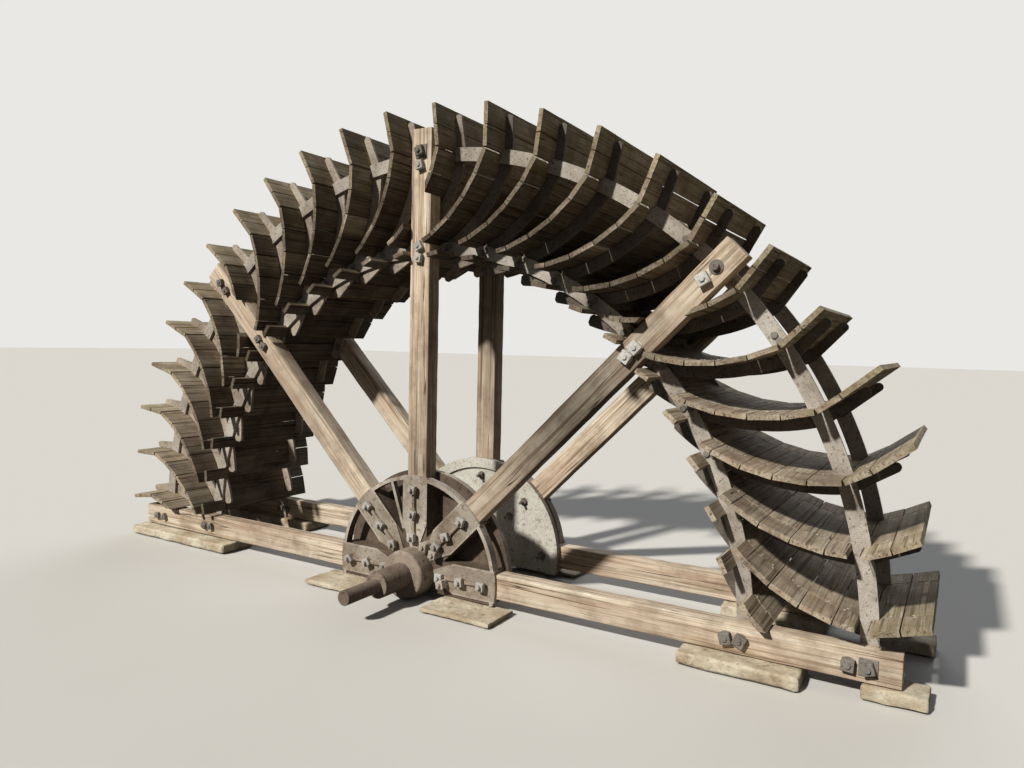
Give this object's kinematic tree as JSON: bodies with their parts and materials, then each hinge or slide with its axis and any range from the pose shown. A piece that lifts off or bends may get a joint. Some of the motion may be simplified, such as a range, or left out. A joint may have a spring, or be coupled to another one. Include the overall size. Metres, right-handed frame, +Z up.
{
  "type": "water wheel",
  "caption": "Upper half of an old mill water wheel with curved plank blades, timber arms and iron hubs, lying on foundation stones.",
  "frame": {"origin": "on the ground, straight below the shaft's centre, midway between the wheel's two sides", "axes": "+Z up, +Y along the shaft from the near side to the far side, +X to the right in the wheel's plane"},
  "size_m": [5.5256, 2.102, 2.9136],
  "materials": {
    "arm_oak": "weathered",
    "blade_planks": "weathered",
    "ring_iron": "weathered",
    "cast_iron": "weathered",
    "rusty_iron": "rusted",
    "field_stone": "rough"
  },
  "bodies": {
    "root": {"shaft": "rusty_iron", "near_hub": "cast_iron", "far_hub": "cast_iron", "near_arm_right": "arm_oak", "near_arm_upper_right": "arm_oak", "near_arm_top": "arm_oak", "near_arm_upper_left": "arm_oak", "near_arm_left": "arm_oak", "far_arm_right": "arm_oak", "far_arm_upper_right": "arm_oak", "far_arm_top": "arm_oak", "far_arm_upper_left": "arm_oak", "far_arm_left": "arm_oak", "near_outer_ring": "ring_iron", "near_inner_ring": "ring_iron", "near_bearers": "ring_iron", "far_outer_ring": "ring_iron", "far_inner_ring": "ring_iron", "far_bearers": "ring_iron", "blade_01": "blade_planks", "blade_02": "blade_planks", "blade_03": "blade_planks", "blade_04": "blade_planks", "blade_05": "blade_planks", "blade_06": "blade_planks", "blade_07": "blade_planks", "blade_08": "blade_planks", "blade_09": "blade_planks", "blade_10": "blade_planks", "blade_11": "blade_planks", "blade_12": "blade_planks", "blade_13": "blade_planks", "blade_14": "blade_planks", "blade_15": "blade_planks", "blade_16": "blade_planks", "blade_17": "blade_planks", "blade_18": "blade_planks", "blade_19": "blade_planks", "blade_20": "blade_planks", "blade_21": "blade_planks", "blade_22": "blade_planks", "blade_23": "blade_planks", "blade_24": "blade_planks", "cut_blade": "blade_planks", "foundation_stones": "field_stone"}
  },
  "joints": []
}
